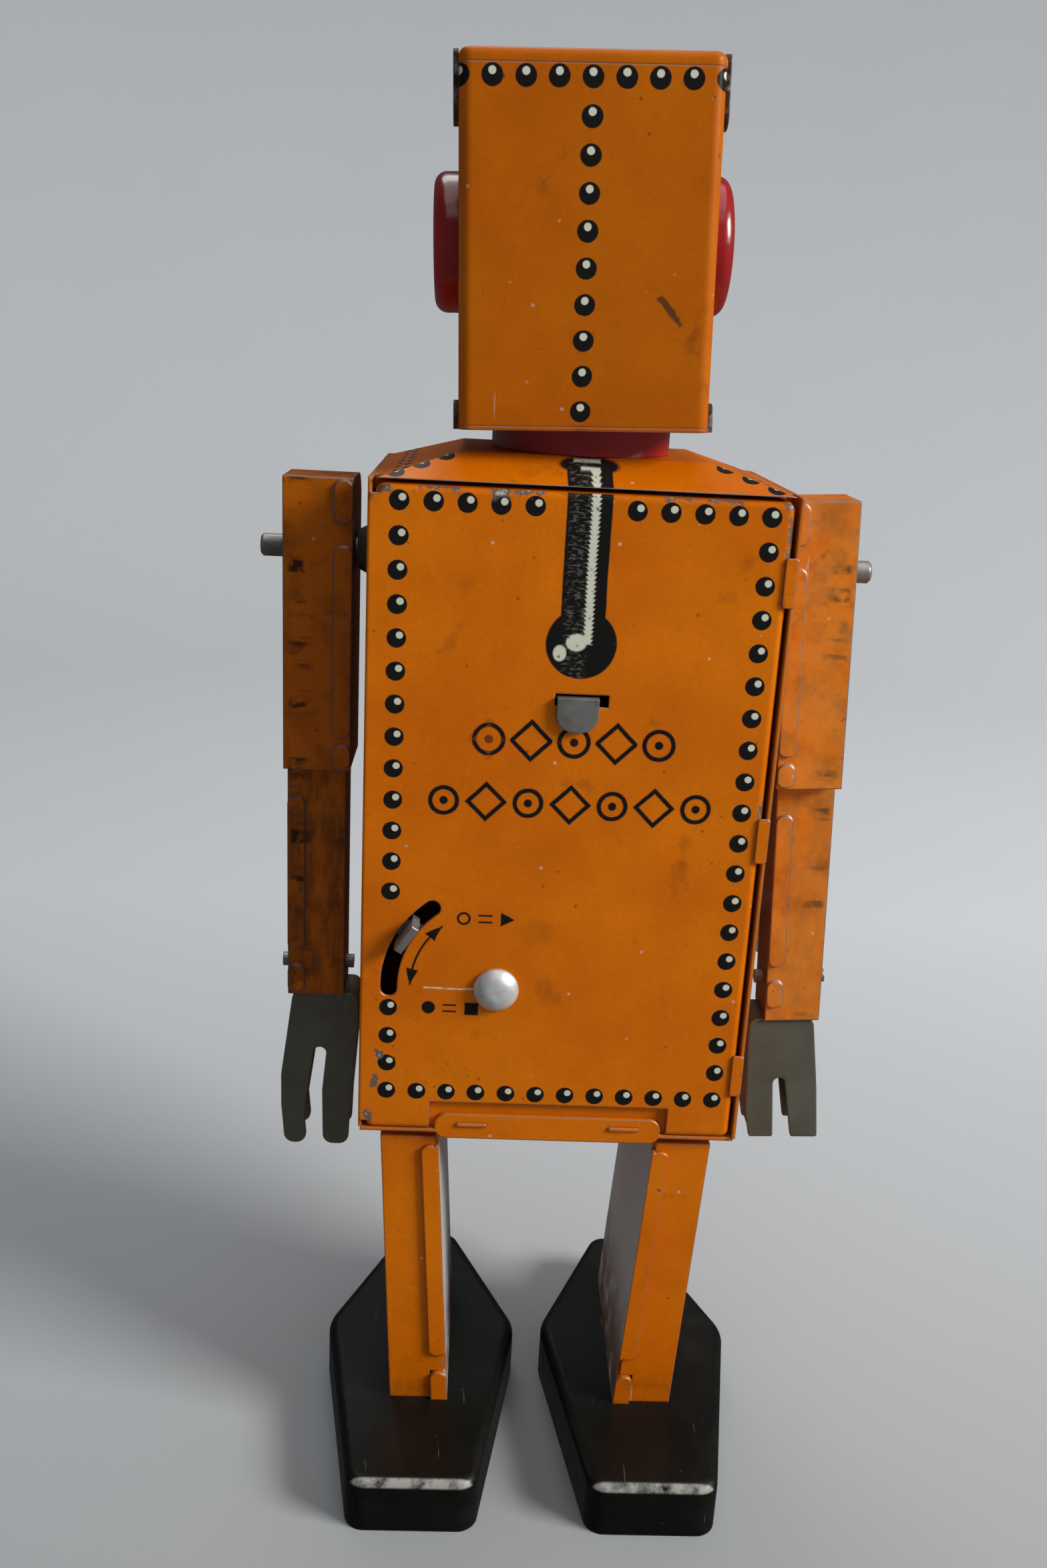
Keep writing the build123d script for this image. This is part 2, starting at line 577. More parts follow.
with BuildPart() as head_base:
    # floor of the head with a lip inside the walls and a flap up over each side
    with BuildSketch(Plane.XY.offset(HEAD_BASE_Z)):
        with Locations((0, HEAD_CENTRE_Y)):
            RectangleRounded(2 * HEAD_HALF_WIDTH, 2 * HEAD_HALF_DEPTH, HEAD_CORNER)
    extrude(amount=SHEET)
    with BuildSketch(Plane.XY.offset(HEAD_BASE_Z + SHEET)):
        with Locations((0, HEAD_CENTRE_Y)):
            RectangleRounded(inner_head_width, inner_head_depth, inner_corner)
            lip_width = inner_head_width - 2 * SHEET
            Rectangle(lip_width, inner_head_depth - 2 * SHEET, mode=Mode.SUBTRACT)
    extrude(amount=HEAD_LIP)
    for sign in SIDES.values():
        with BuildSketch(facing_left(sign * HEAD_HALF_WIDTH)) as low_flap:
            with Locations((head_back_y - HEAD_FLAP_DEPTH / 2, HEAD_BASE_Z + LOW_FLAP_HEIGHT / 2)):
                Rectangle(HEAD_FLAP_DEPTH, LOW_FLAP_HEIGHT)
            fillet(low_flap.vertices().group_by(Axis.Y)[-1], LOW_FLAP_HEIGHT / 2)
        extrude(amount=sign * HEAD_FLAP_THICK)
    add(head_base.part.moved(head_place), mode=Mode.REPLACE)
head_base.part.label = "head_base"
export_step(head_base.part, "parts/head_base.step")

for side, sign in SIDES.items():
    with BuildPart() as ear:
        with BuildSketch(facing_left(sign * HEAD_HALF_WIDTH)):
            with Locations((HEAD_CENTRE_Y, EAR_Z)):
                Circle(EAR_RADIUS)
        extrude(amount=sign * EAR_THICK)
        outer_rim = ear.faces().sort_by(Axis.X)[-1 if sign > 0 else 0].edges()
        fillet(outer_rim, EAR_ROUNDING)
        add(ear.part.moved(head_place), mode=Mode.REPLACE)
    ear.part.label = f"ear_{side}"
    export_step(ear.part, f"parts/ear_{side}.step")

# ---------------------------------------------------------------- shoulder rod and collars
with BuildPart() as shoulder_rod:
    with BuildSketch(facing_left(ROD_RIGHT_X)):
        with Locations((ARM_PIVOT_Y, ARM_PIVOT_Z)):
            Circle(ROD_RADIUS)
    extrude(amount=ROD_LEFT_X - ROD_RIGHT_X)
    chamfer(shoulder_rod.edges(), ROD_CHAMFER)
shoulder_rod.part.label = "shoulder_rod"
export_step(shoulder_rod.part, "parts/shoulder_rod.step")

with BuildPart() as shoulder_collars:
    # dished washer on each side, between the body and the arm
    collar_ends = (ARM_INNER_X - COLLAR_GAP, RIGHT_ARM_SHIFT - ARM_INNER_X + COLLAR_GAP)
    for sign, collar_end in zip(SIDES.values(), collar_ends):
        with BuildSketch(facing_left(sign * BODY_HALF_WIDTH)):
            with Locations((ARM_PIVOT_Y, ARM_PIVOT_Z)):
                Circle(COLLAR_RADIUS)
                Circle(ROD_RADIUS, mode=Mode.SUBTRACT)
        with BuildSketch(facing_left(collar_end)):
            with Locations((ARM_PIVOT_Y, ARM_PIVOT_Z)):
                Circle(COLLAR_END_RADIUS)
                Circle(ROD_RADIUS, mode=Mode.SUBTRACT)
        loft()
shoulder_collars.part.label = "shoulder_collars"
export_step(shoulder_collars.part, "parts/shoulder_collars.step")

# ---------------------------------------------------------------- arms
fore_width = FORE_OUTER_X - FORE_INNER_X
fore_middle_x = (FORE_OUTER_X + FORE_INNER_X) / 2
arm_width = ARM_OUTER_X - ARM_INNER_X
arm_middle_x = (ARM_OUTER_X + ARM_INNER_X) / 2
flap_rounding = FLAP_WIDTH / 2 - ROUNDING_REST

arm_places = {
    "left": Location((0, 0, 0)),
    "right": askew((-arm_middle_x, ARM_PIVOT_Y, ARM_PIVOT_Z), RIGHT_ARM_LEAN, (RIGHT_ARM_SHIFT, 0, 0)),
}

for side, sign in SIDES.items():
    arm_place = arm_places[side]
    wrist_z = WRIST_Z[side]
    with BuildPart() as upper_arm:
        # box of the upper arm, open at the back
        with BuildSketch(facing_left(ARM_INNER_X)) as arm_side:
            with Locations(((ARM_FRONT_Y + ARM_BACK_Y - SHEET) / 2, (ARM_TOP_Z + ELBOW_Z) / 2)):
                Rectangle(ARM_BACK_Y - SHEET - ARM_FRONT_Y, ARM_TOP_Z - ELBOW_Z)
            fillet(arm_side.vertices().group_by(Axis.Y)[-1].sort_by(Axis.X)[0], ARM_ROUNDING)
        extrude(amount=arm_width)
        with BuildSketch(facing_left(ARM_INNER_X + SHEET)) as arm_hollow:
            with Locations(((ARM_FRONT_Y + ARM_BACK_Y + SHEET) / 2, (ARM_TOP_Z + ELBOW_Z) / 2)):
                Rectangle(ARM_BACK_Y - ARM_FRONT_Y - SHEET, ARM_TOP_Z - ELBOW_Z - 2 * SHEET)
            hollow_corner = arm_hollow.vertices().group_by(Axis.Y)[-1].sort_by(Axis.X)[0]
            fillet(hollow_corner, ARM_ROUNDING - SHEET)
        extrude(amount=arm_width - 2 * SHEET, mode=Mode.SUBTRACT)
        if sign < 0:
            mirror(about=Plane.YZ, mode=Mode.REPLACE)
        add(upper_arm.part.moved(arm_place), mode=Mode.REPLACE)
        with BuildSketch(facing_left(-ROD_LEFT_X)):
            with Locations((ARM_PIVOT_Y, ARM_PIVOT_Z)):
                Circle(ROD_RADIUS + CLEAR)
        extrude(amount=2 * ROD_LEFT_X, mode=Mode.SUBTRACT)
    upper_arm.part.label = f"upper_arm_{side}"
    export_step(upper_arm.part, f"parts/upper_arm_{side}.step")

    with BuildPart() as upper_arm_cover:
        # back of the upper arm with a rounded strip folded over its inner edge
        with BuildSketch(facing_back(ARM_BACK_Y)):
            with Locations((arm_middle_x, (ARM_TOP_Z + ELBOW_Z) / 2)):
                Rectangle(arm_width, ARM_TOP_Z - ELBOW_Z)
        extrude(amount=SHEET)
        with BuildSketch(facing_back(ARM_BACK_Y + FLAP_THICK)):
            for low_z, top_z in ((ARM_FLAP_LOW_Z, ARM_FLAP_TOP_Z), *ARM_TABS):
                with Locations((ARM_INNER_X + FLAP_WIDTH / 2, (low_z + top_z) / 2)):
                    RectangleRounded(FLAP_WIDTH, top_z - low_z, flap_rounding)
        extrude(amount=FLAP_THICK)
        if sign < 0:
            mirror(about=Plane.YZ, mode=Mode.REPLACE)
        add(upper_arm_cover.part.moved(arm_place), mode=Mode.REPLACE)
    upper_arm_cover.part.label = f"upper_arm_cover_{side}"
    export_step(upper_arm_cover.part, f"parts/upper_arm_cover_{side}.step")

    with BuildPart() as forearm:
        # box of the forearm, open at the back
        with BuildSketch(facing_back(FORE_BACK_Y - SHEET)):
            with Locations((sign * fore_middle_x, (ELBOW_Z + wrist_z) / 2)):
                Rectangle(fore_width, ELBOW_Z - wrist_z)
        extrude(amount=FORE_BACK_Y - SHEET - FORE_FRONT_Y)
        with BuildSketch(facing_back(FORE_BACK_Y)):
            with Locations((sign * fore_middle_x, (ELBOW_Z + wrist_z) / 2)):
                Rectangle(fore_width - 2 * SHEET, ELBOW_Z - wrist_z - 2 * SHEET)
        extrude(amount=FORE_BACK_Y - SHEET - FORE_FRONT_Y, mode=Mode.SUBTRACT)
        with BuildSketch(facing_left(sign * fore_middle_x - fore_width)):
            with Locations(((FORE_FRONT_Y + FORE_BACK_Y) / 2, PIN_Z)):
                Circle(PIN_RADIUS)
        extrude(amount=2 * fore_width, mode=Mode.SUBTRACT)
        add(forearm.part.moved(arm_place), mode=Mode.REPLACE)
    forearm.part.label = f"forearm_{side}"
    export_step(forearm.part, f"parts/forearm_{side}.step")

    with BuildPart() as forearm_cover:
        # back of the forearm; its folded strip is on the same hand of both arms
        with BuildSketch(facing_back(FORE_BACK_Y)):
            with Locations((sign * fore_middle_x, (ELBOW_Z + wrist_z) / 2)):
                Rectangle(fore_width, ELBOW_Z - wrist_z)
        extrude(amount=SHEET)
        with BuildSketch(facing_back(FORE_BACK_Y + FLAP_THICK)):
            strip_x = sign * fore_middle_x + (fore_width - FLAP_WIDTH) / 2
            for low_z, top_z in ((FORE_FLAP_LOW_Z, FORE_FLAP_TOP_Z), (FORE_TAB_LOW_Z, FORE_TAB_TOP_Z)):
                with Locations((strip_x, (low_z + top_z) / 2)):
                    RectangleRounded(FLAP_WIDTH, top_z - low_z, flap_rounding)
        extrude(amount=FLAP_THICK)
        add(forearm_cover.part.moved(arm_place), mode=Mode.REPLACE)
    forearm_cover.part.label = f"forearm_cover_{side}"
    export_step(forearm_cover.part, f"parts/forearm_cover_{side}.step")

    with BuildPart() as wrist_pin:
        with BuildSketch(facing_left(sign * fore_middle_x - fore_width / 2 - PIN_STICK_OUT)):
            with Locations(((FORE_FRONT_Y + FORE_BACK_Y) / 2, PIN_Z)):
                Circle(PIN_RADIUS)
        extrude(amount=fore_width + 2 * PIN_STICK_OUT)
        add(wrist_pin.part.moved(arm_place), mode=Mode.REPLACE)
    wrist_pin.part.label = f"wrist_pin_{side}"
    export_step(wrist_pin.part, f"parts/wrist_pin_{side}.step")

    with BuildPart() as hand:
        # folded sheet: two finger plates, front and back, joined by both sides and the top
        top_corners = [(offset_x, wrist_z) for offset_x in HAND_TOP_OFFSETS]
        hand_corners = (*top_corners, *HAND_OUTLINES[side])
        outline = [(sign * (HAND_X + across), height) for across, height in hand_corners]
        with BuildSketch(facing_back(HAND_BACK_Y)):
            with BuildLine():
                Polyline(*outline, close=True)
            make_face()
        extrude(amount=HAND_BACK_Y - HAND_FRONT_Y)
        fillet(hand.edges().filter_by(Axis.Y).group_by(Axis.Z)[-1], HAND_TOP_ROUNDING)
        # inside of the fold
        with BuildSketch(facing_back(HAND_BACK_Y - HAND_SHEET)):
            with BuildLine():
                Polyline(*outline, close=True)
            make_face()
            offset(amount=-HAND_SHEET, kind=Kind.INTERSECTION, mode=Mode.REPLACE)
        extrude(amount=HAND_BACK_Y - HAND_FRONT_Y - 2 * HAND_SHEET, mode=Mode.SUBTRACT)
        # the sides stop short of the finger tips
        with BuildSketch(facing_back(HAND_BACK_Y - HAND_SHEET)):
            with Locations((sign * HAND_X, HAND_SIDE_Z - HAND_TRIM / 2)):
                Rectangle(4 * fore_width, HAND_TRIM)
        extrude(amount=HAND_BACK_Y - HAND_FRONT_Y - 2 * HAND_SHEET, mode=Mode.SUBTRACT)
        # slot between the fingers, through both plates
        with BuildSketch(facing_back(HAND_BACK_Y + OVERSHOOT)):
            slot_x, slot_z = HAND_SLOT_TOPS[side]
            with Locations((sign * (HAND_X + slot_x), slot_z)):
                Circle(HAND_SLOT_WIDTH / 2)
            with BuildLine():
                Polyline(*[(sign * (HAND_X + x), z) for x, z in HAND_SLOT_ENDS[side]], close=True)
            make_face()
        extrude(amount=HAND_BACK_Y - HAND_FRONT_Y + 2 * OVERSHOOT, mode=Mode.SUBTRACT)
        finger_tips = hand.edges().filter_by(Axis.Y).filter_by_position(Axis.Z, 0, FINGER_TIP_Z)
        fillet(finger_tips, HAND_TIP_ROUNDING[side])
        add(hand.part.moved(arm_place), mode=Mode.REPLACE)
    hand.part.label = f"hand_{side}"
    export_step(hand.part, f"parts/hand_{side}.step")

# ---------------------------------------------------------------- legs and feet
leg_leans = (LEG_LOW_INNER_X, LEG_LOW_OUTER_X, LEG_TOP_INNER_X, LEG_TOP_OUTER_X)

for side, sign in SIDES.items():
    with BuildPart() as leg:
        # inner wall, with its edge folded over the cover, then front and outer walls
        with BuildSketch(facing_back(LEG_BACK_Y + LEG_FLAP_THICK)):
            low_edge = (LEG_LOW_INNER_X, LEG_LOW_INNER_X + SHEET)
            top_edge = (LEG_TOP_INNER_X, LEG_TOP_INNER_X + SHEET)
            with BuildLine():
                Polyline(*leaning_strip(*low_edge, *top_edge, LEG_FLAP_LOW_Z, LEG_FLAP_TOP_Z), close=True)
            make_face()
        extrude(amount=LEG_FLAP_THICK + SHEET)
        with BuildSketch(facing_back(LEG_BACK_Y - SHEET)):
            with BuildLine():
                Polyline(*leaning_strip(*leg_leans, FOOT_HEIGHT, LEG_TOP_Z), close=True)
            make_face()
        extrude(amount=LEG_BACK_Y - SHEET - LEG_FRONT_Y)
        fillet(leg.edges().group_by(Axis.Y)[0].sort_by(SortBy.LENGTH)[-2:], LEG_CORNER)
        with BuildSketch(facing_back(LEG_BACK_Y - SHEET)):
            low_hollow = (LEG_LOW_INNER_X + SHEET, LEG_LOW_OUTER_X - SHEET)
            top_hollow = (LEG_TOP_INNER_X + SHEET, LEG_TOP_OUTER_X - SHEET)
            hollow_strip = leaning_strip(
                *low_hollow, *top_hollow, FOOT_HEIGHT + SHEET, LEG_TOP_Z - SHEET
            )
            with BuildLine():
                Polyline(*hollow_strip, close=True)
            make_face()
        extrude(amount=LEG_BACK_Y - LEG_FRONT_Y - 2 * SHEET, mode=Mode.SUBTRACT)
        # folded-over strip with rounded ends
        with BuildSketch(facing_back(LEG_BACK_Y + LEG_FLAP_THICK)) as leg_flap:
            low_flap = (LEG_LOW_INNER_X, LEG_LOW_INNER_X + LEG_FLAP_WIDTH)
            top_flap = (LEG_TOP_INNER_X, LEG_TOP_INNER_X + LEG_FLAP_WIDTH)
            with BuildLine():
                Polyline(*leaning_strip(*low_flap, *top_flap, LEG_FLAP_LOW_Z, LEG_FLAP_TOP_Z), close=True)
            make_face()
            fillet(leg_flap.vertices(), LEG_FLAP_WIDTH / 2 - ROUNDING_REST)
        extrude(amount=LEG_FLAP_THICK)
        with BuildSketch(facing_back(LEG_BACK_Y + LEG_FLAP_THICK)) as ankle_tab:
            with BuildLine():
                Polyline(*leaning_strip(*low_flap, *top_flap, FOOT_HEIGHT, ANKLE_TAB_TOP_Z), close=True)
            make_face()
            fillet(ankle_tab.vertices().group_by(Axis.Y)[-1], LEG_FLAP_WIDTH / 2 - ROUNDING_REST)
        extrude(amount=LEG_FLAP_THICK + SHEET)
        # ears that hang the leg on the hip rod
        with BuildSketch(facing_left(LEG_TOP_INNER_X)):
            with Locations((HIP_Y, (LEG_EAR_TOP_Z + LEG_EAR_LOW_Z) / 2)):
                RectangleRounded(LEG_EAR_DEPTH, LEG_EAR_TOP_Z - LEG_EAR_LOW_Z, LEG_EAR_CORNER)
            with Locations((CRANK_Y, CRANK_Z)):
                Rectangle(CRANK_WINDOW_DEPTH, CRANK_WINDOW_HEIGHT, mode=Mode.SUBTRACT)
        extrude(amount=SHEET)
        with BuildSketch(facing_left(LEG_TOP_OUTER_X - 2 * SHEET)):
            with Locations((HIP_Y, (HIP_EAR_TOP_Z + LEG_EAR_LOW_Z) / 2)):
                RectangleRounded(HIP_EAR_DEPTH, HIP_EAR_TOP_Z - LEG_EAR_LOW_Z, LEG_EAR_CORNER)
        extrude(amount=SHEET)
        with BuildSketch(facing_left(LEG_TOP_INNER_X - OVERSHOOT)):
            with Locations((HIP_Y, HIP_Z)):
                Circle(HIP_ROD_RADIUS + CLEAR)
        extrude(amount=LEG_TOP_OUTER_X - LEG_TOP_INNER_X + 2 * OVERSHOOT, mode=Mode.SUBTRACT)
        if sign < 0:
            mirror(about=Plane.YZ, mode=Mode.REPLACE)
    leg.part.label = f"leg_{side}"
    export_step(leg.part, f"parts/leg_{side}.step")

    with BuildPart() as leg_cover:
        # back of the leg, held under the folded edge
        with BuildSketch(facing_back(LEG_BACK_Y)):
            low_cover = (LEG_LOW_INNER_X + SHEET, LEG_LOW_OUTER_X)
            top_cover = (LEG_TOP_INNER_X + SHEET, LEG_TOP_OUTER_X)
            with BuildLine():
                Polyline(*leaning_strip(*low_cover, *top_cover, FOOT_HEIGHT, LEG_TOP_Z), close=True)
            make_face()
            # notch for the ankle tab
            tab_edges = (LEG_LOW_INNER_X, LEG_LOW_INNER_X + LEG_FLAP_WIDTH)
            tab_top_edges = (LEG_TOP_INNER_X, LEG_TOP_INNER_X + LEG_FLAP_WIDTH)
            with BuildLine():
                Polyline(
                    *leaning_strip(*tab_edges, *tab_top_edges, FOOT_HEIGHT, ANKLE_TAB_TOP_Z), close=True
                )
            make_face(mode=Mode.SUBTRACT)
        extrude(amount=SHEET)
        if sign < 0:
            mirror(about=Plane.YZ, mode=Mode.REPLACE)
    leg_cover.part.label = f"leg_cover_{side}"
    export_step(leg_cover.part, f"parts/leg_cover_{side}.step")

    with BuildPart() as foot:
        # pressed shell with a rounded top edge, open underneath
        with BuildSketch() as foot_outline:
            with BuildLine():
                Polyline(
                    (sign * FOOT_X - FOOT_HEEL_HALF, FOOT_HEEL_Y),
                    (sign * FOOT_X + FOOT_HEEL_HALF, FOOT_HEEL_Y),
                    (sign * FOOT_X + FOOT_WIDE_HALF, FOOT_WIDE_Y),
                    (sign * FOOT_X + FOOT_TOE_HALF, FOOT_TOE_Y),
                    (sign * FOOT_X - FOOT_TOE_HALF, FOOT_TOE_Y),
                    (sign * FOOT_X - FOOT_WIDE_HALF, FOOT_WIDE_Y),
                    close=True,
                )
            make_face()
            fillet(foot_outline.vertices().group_by(Axis.Y)[-1], FOOT_HEEL_ROUNDING)
            fillet(foot_outline.vertices().sort_by(Axis.X)[0], FOOT_SIDE_ROUNDING)
            fillet(foot_outline.vertices().sort_by(Axis.X)[-1], FOOT_SIDE_ROUNDING)
            fillet(foot_outline.vertices().group_by(Axis.Y)[0], FOOT_HEEL_ROUNDING)
        extrude(amount=FOOT_HEIGHT)
        fillet(foot.faces().sort_by(Axis.Z)[-1].edges(), FOOT_EDGE)
        with BuildSketch() as foot_inside:
            add(foot_outline.sketch)
            offset(amount=-FOOT_SHEET, mode=Mode.REPLACE)
        extrude(amount=FOOT_HEIGHT - FOOT_SHEET, mode=Mode.SUBTRACT)
    foot.part.label = f"foot_{side}"
    export_step(foot.part, f"parts/foot_{side}.step")

    with BuildPart() as sole:
        with BuildSketch():
            add(foot_inside.sketch)
        extrude(amount=SOLE_THICK)
    sole.part.label = f"sole_{side}"
    export_step(sole.part, f"parts/sole_{side}.step")

with BuildPart() as hip_rod:
    with BuildSketch(facing_left(-BODY_HALF_WIDTH)):
        with Locations((HIP_Y, HIP_Z)):
            Circle(HIP_ROD_RADIUS)
    extrude(amount=2 * BODY_HALF_WIDTH)
hip_rod.part.label = "hip_rod"
export_step(hip_rod.part, "parts/hip_rod.step")

# ---------------------------------------------------------------- motor frame
for side, sign in SIDES.items():
    with BuildPart() as motor_plate:
        with BuildSketch(facing_left(sign * PLATE_X)):
            with Locations(((PLATE_FRONT_Y + PLATE_BACK_Y) / 2, (BODY_BASE_Z + PLATE_TOP_Z) / 2)):
                RectangleRounded(PLATE_BACK_Y - PLATE_FRONT_Y, PLATE_TOP_Z - BODY_BASE_Z, PLATE_CORNER)
            with Locations((ARBOR_Y, ARBOR_Z)):
                Circle(ARBOR_RADIUS + CLEAR, mode=Mode.SUBTRACT)
            with Locations((CRANK_Y, CRANK_Z)):
                Circle(CRANK_RADIUS + CLEAR, mode=Mode.SUBTRACT)
            with Locations((CRANK_Y, GOVERNOR_Z), (CRANK_Y, VERGE_Z)):
                Circle(GOVERNOR_RADIUS + CLEAR, mode=Mode.SUBTRACT)
            with Locations((HIP_Y, HIP_Z)):
                Circle(HIP_ROD_RADIUS, mode=Mode.SUBTRACT)
            with Locations(*PILLAR_PLACES):
                Circle(PILLAR_SHANK_RADIUS, mode=Mode.SUBTRACT)
        extrude(amount=sign * PLATE_THICK)
    motor_plate.part.label = f"motor_plate_{side}"
    export_step(motor_plate.part, f"parts/motor_plate_{side}.step")

with BuildPart() as motor_pillars:
    # four shouldered posts, riveted over outside the plates
    for place in PILLAR_PLACES:
        with BuildSketch(facing_left(-PLATE_X)):
            with Locations(place):
                Circle(PILLAR_RADIUS)
        extrude(amount=2 * PLATE_X)
        with BuildSketch(facing_left(-PLATE_X - PLATE_THICK)):
            with Locations(place):
                Circle(PILLAR_SHANK_RADIUS)
        extrude(amount=2 * (PLATE_X + PLATE_THICK))
motor_pillars.part.label = "motor_pillars"
export_step(motor_pillars.part, "parts/motor_pillars.step")

with BuildPart() as motor_strap:
    # strap across the tops of the plates; its tongue comes out through the back and is bent down
    with BuildSketch(Plane.XY.offset(PLATE_TOP_Z)):
        with Locations((0, (PLATE_FRONT_Y + PLATE_BACK_Y) / 2)):
            Rectangle(2 * (PLATE_X + PLATE_THICK), PLATE_BACK_Y - PLATE_FRONT_Y)
        tongue_end_y = BODY_BACK_Y + TONGUE_GAP + TONGUE_THICK
        with Locations((TONGUE_MIDDLE_X, (PLATE_BACK_Y + tongue_end_y) / 2)):
            Rectangle(TONGUE_WIDTH, tongue_end_y - PLATE_BACK_Y)
    extrude(amount=TONGUE_THICK)
    with BuildSketch(facing_back(tongue_end_y)) as tongue:
        with Locations((TONGUE_MIDDLE_X, (PLATE_TOP_Z + TONGUE_THICK + TONGUE_LOW_Z) / 2)):
            Rectangle(TONGUE_WIDTH, PLATE_TOP_Z + TONGUE_THICK - TONGUE_LOW_Z)
        fillet(tongue.vertices().group_by(Axis.Y)[0], TONGUE_ROUNDING)
    extrude(amount=TONGUE_THICK)
motor_strap.part.label = "motor_strap"
export_step(motor_strap.part, "parts/motor_strap.step")

with BuildPart() as mainspring:
    # steel ribbon wound round the arbor, its outer end towards the front
    turns = (SPRING_OUTER - SPRING_INNER) / SPRING_PITCH
    spring_points = []
    for i in range(int(turns * SPRING_STEPS) + 1):
        angle = 2 * pi * i / SPRING_STEPS
        radius = SPRING_INNER + SPRING_PITCH * i / SPRING_STEPS
        spring_points.append((ARBOR_Y + radius * cos(angle), ARBOR_Z + radius * sin(angle)))
    outer_points = []
    for i in range(int(turns * SPRING_STEPS), -1, -1):
        angle = 2 * pi * i / SPRING_STEPS
        radius = SPRING_INNER + SPRING_RIBBON + SPRING_PITCH * i / SPRING_STEPS
        outer_points.append((ARBOR_Y + radius * cos(angle), ARBOR_Z + radius * sin(angle)))
    with BuildSketch(facing_left(SPRING_X)):
        with BuildLine():
            Spline(*spring_points)
            Line(spring_points[-1], outer_points[0])
            Spline(*outer_points)
            Line(outer_points[-1], spring_points[0])
        make_face()
    extrude(amount=SPRING_WIDTH)
mainspring.part.label = "mainspring"
export_step(mainspring.part, "parts/mainspring.step")

# ---------------------------------------------------------------- winding arbor and great wheel
with BuildPart() as winding_arbor:
    with BuildSketch(facing_left(-KEY_HUB_OUTER_X)):
        with Locations((ARBOR_Y, ARBOR_Z)):
            Circle(ARBOR_RADIUS)
    extrude(amount=KEY_HUB_OUTER_X + PLATE_X + PLATE_THICK)
winding_arbor.part.label = "winding_arbor"
export_step(winding_arbor.part, "parts/winding_arbor.step")

with BuildPart() as winding_key:
    with BuildSketch(facing_left(-KEY_HUB_OUTER_X)):
        with Locations((ARBOR_Y, ARBOR_Z)):
            Circle(KEY_HUB_RADIUS)
            Circle(ARBOR_RADIUS, mode=Mode.SUBTRACT)
    extrude(amount=KEY_HUB_OUTER_X - KEY_HUB_INNER_X)
    # two round wings, with a hole in each
    with BuildSketch(facing_back(ARBOR_Y + KEY_WING_THICK / 2)):
        with Locations((-KEY_WING_X, ARBOR_Z - KEY_WING_OFFSET), (-KEY_WING_X, ARBOR_Z + KEY_WING_OFFSET)):
            Circle(KEY_WING_RADIUS)
        with Locations((-KEY_WING_X, ARBOR_Z)):
            Rectangle(2 * (KEY_WING_X - KEY_HUB_OUTER_X), 2 * KEY_WING_OFFSET)
        with Locations((-KEY_WING_X, ARBOR_Z - KEY_WING_OFFSET), (-KEY_WING_X, ARBOR_Z + KEY_WING_OFFSET)):
            Circle(KEY_WING_HOLE, mode=Mode.SUBTRACT)
    extrude(amount=KEY_WING_THICK)
winding_key.part.label = "winding_key"
export_step(winding_key.part, "parts/winding_key.step")

with BuildPart() as great_wheel:
    with BuildSketch(across_shaft(GREAT_X, ARBOR_Y, ARBOR_Z)):
        with BuildLine():
            Polyline(*gear_outline(GREAT_TEETH, GREAT_MODULE, 0), close=True)
        make_face()
        Circle(ARBOR_RADIUS, mode=Mode.SUBTRACT)
    extrude(amount=GREAT_THICK)
great_wheel.part.label = "great_wheel"
export_step(great_wheel.part, "parts/great_wheel.step")

with BuildPart() as ratchet_wheel:
    # saw teeth that the click on the great wheel drops into
    with BuildSketch(across_shaft(RATCHET_X, ARBOR_Y, ARBOR_Z)):
        saw = []
        for tooth in range(RATCHET_TEETH):
            angle = 2 * pi * tooth / RATCHET_TEETH
            saw.append((RATCHET_ROOT * cos(angle), RATCHET_ROOT * sin(angle)))
            saw.append((RATCHET_TIP * cos(angle), RATCHET_TIP * sin(angle)))
        with BuildLine():
            Polyline(*saw, close=True)
        make_face()
        Circle(ARBOR_RADIUS, mode=Mode.SUBTRACT)
    extrude(amount=RATCHET_THICK)
ratchet_wheel.part.label = "ratchet_wheel"
export_step(ratchet_wheel.part, "parts/ratchet_wheel.step")

with BuildPart() as click:
    # pawl on the face of the great wheel
    with BuildSketch(across_shaft(RATCHET_X, ARBOR_Y, ARBOR_Z)):
        with Locations((0, CLICK_PIVOT_RADIUS)):
            Circle(CLICK_PIVOT_SIZE)
        with Locations((CLICK_TIP_RADIUS * cos(CLICK_ANGLE), CLICK_TIP_RADIUS * sin(CLICK_ANGLE))):
            Circle(CLICK_TIP_SIZE)
        make_hull()
    extrude(amount=RATCHET_THICK)
click.part.label = "click"
export_step(click.part, "parts/click.step")

# ---------------------------------------------------------------- crankshaft
with BuildPart() as crank_shaft:
    with BuildSketch(facing_left(-DISC_X - DISC_THICK)):
        with Locations((CRANK_Y, CRANK_Z)):
            Circle(CRANK_RADIUS)
    extrude(amount=2 * (DISC_X + DISC_THICK))
crank_shaft.part.label = "crank_shaft"
export_step(crank_shaft.part, "parts/crank_shaft.step")

with BuildPart() as crank_pinion:
    with BuildSketch(across_shaft(PINION_X, CRANK_Y, CRANK_Z)):
        with BuildLine():
            Polyline(*gear_outline(CRANK_PINION_TEETH, GREAT_MODULE, 180 / CRANK_PINION_TEETH), close=True)
        make_face()
        Circle(CRANK_RADIUS, mode=Mode.SUBTRACT)
    extrude(amount=PINION_THICK)
crank_pinion.part.label = "crank_pinion"
export_step(crank_pinion.part, "parts/crank_pinion.step")

